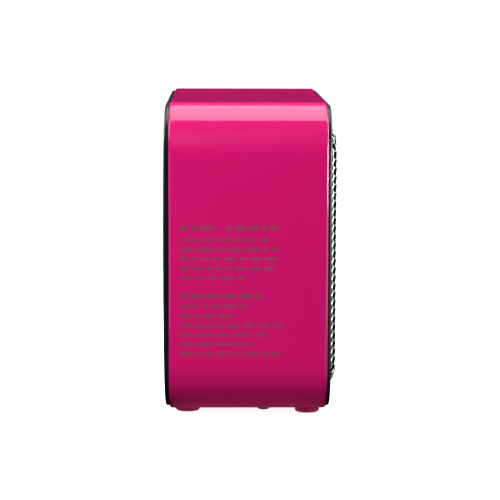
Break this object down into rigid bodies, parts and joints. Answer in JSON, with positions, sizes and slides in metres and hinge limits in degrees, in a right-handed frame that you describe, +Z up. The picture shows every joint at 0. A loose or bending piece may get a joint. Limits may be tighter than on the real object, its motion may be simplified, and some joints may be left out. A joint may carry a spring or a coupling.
{
  "type": "nail dust collector",
  "caption": "Desktop box-shaped dust extractor with a rounded wrap-around shell, a honeycomb intake grille over a pull-out filter, axial fans and a louvred back.",
  "frame": {"origin": "on the table surface, below the middle of the unit's overall box", "axes": "+X along the width, +Y from the intake grille to the louvred back, +Z up"},
  "size_m": [0.284, 0.1256, 0.229],
  "materials": {
    "band_gloss": "polished pigmented shell, high gloss",
    "cap_black": "polished black moulding",
    "grille_silver": "bright nickel-plated steel honeycomb",
    "frame_black": "black powder-coated steel channel",
    "inner_black": "black glass-filled nylon, fine grain",
    "filter_rail": "black moulded cartridge rail, fine grain",
    "filter_paper": "charcoal pleated filter paper",
    "seal_rubber": "closed-cell rubber seal",
    "foot_magenta": "magenta moulded foot",
    "screw_chrome": "nickel-plated screw",
    "steel": "plain steel",
    "magnet": "sintered magnet",
    "windings": "enamelled copper windings on laminations",
    "board_green": "green glass-fibre circuit board",
    "transformer_tape": "taped transformer",
    "heat_sink": "extruded heat sink",
    "capacitor_sleeve": "sleeved capacitor cans",
    "terminal_green": "terminal blocks",
    "lead_sleeve": "insulated leads",
    "contact_brass": "plated contact pins"
  },
  "bodies": {
    "housing": {"housing_band": "band_gloss", "front_bezel": "cap_black", "rear_panel": "cap_black", "grille_magnets": "magnet", "fan_bulkhead": "inner_black", "rear_posts": "steel", "power_inlet": "inner_black", "inlet_pins": "contact_brass", "switch_body": "inner_black", "power_board": "board_green", "board_standoffs": "inner_black", "board_transformer": "transformer_tape", "board_capacitors": "capacitor_sleeve", "board_heatsink": "heat_sink", "board_terminals": "terminal_green", "fan_leads": "lead_sleeve", "mains_leads": "lead_sleeve", "foot_front_left": "foot_magenta", "foot_front_right": "foot_magenta", "foot_rear_left": "foot_magenta", "foot_rear_right": "foot_magenta", "base_screws": "screw_chrome", "fan_screws": "steel", "bezel_screws": "steel", "rear_screws": "steel", "fan_left_frame": "inner_black", "fan_left_bearings": "steel", "fan_left_stator": "windings", "fan_left_guard": "steel", "fan_right_frame": "inner_black", "fan_right_bearings": "steel", "fan_right_stator": "windings", "fan_right_guard": "steel"},
    "grille": {"grille_mesh": "grille_silver", "grille_frame": "frame_black"},
    "filter": {"filter_frame": "filter_rail", "filter_media": "filter_paper", "filter_gasket": "seal_rubber", "filter_grip": "filter_rail"},
    "rocker": {"switch_rocker": "cap_black"},
    "rotor_left": {"fan_left_rotor": "inner_black", "fan_left_magnet_ring": "magnet", "fan_left_shaft": "steel"},
    "rotor_right": {"fan_right_rotor": "inner_black", "fan_right_magnet_ring": "magnet", "fan_right_shaft": "steel"}
  },
  "joints": [
    {"name": "grille_pull", "type": "slide", "parent": "housing", "child": "grille", "axis": [0, -1, 0], "range_m": [0, 0.12]},
    {"name": "filter_pull", "type": "slide", "parent": "housing", "child": "filter", "axis": [0, -1, 0], "range_m": [0, 0.06]},
    {"name": "fan_left_spin", "type": "hinge", "parent": "housing", "child": "rotor_left", "pos_m": [-0.062, -0.01515, 0.1165], "axis": [0, 1, 0], "continuous": true},
    {"name": "fan_right_spin", "type": "hinge", "parent": "housing", "child": "rotor_right", "pos_m": [0.062, -0.01515, 0.1165], "axis": [0, 1, 0], "continuous": true},
    {"name": "power_rocker", "type": "hinge", "parent": "housing", "child": "rocker", "pos_m": [0.098, 0.055, 0.036], "axis": [1, 0, 0], "range_deg": [0, 20]}
  ],
  "couplings": [
    {"joint": "filter_pull", "follows": "grille_pull", "ratio": 0.5}
  ]
}
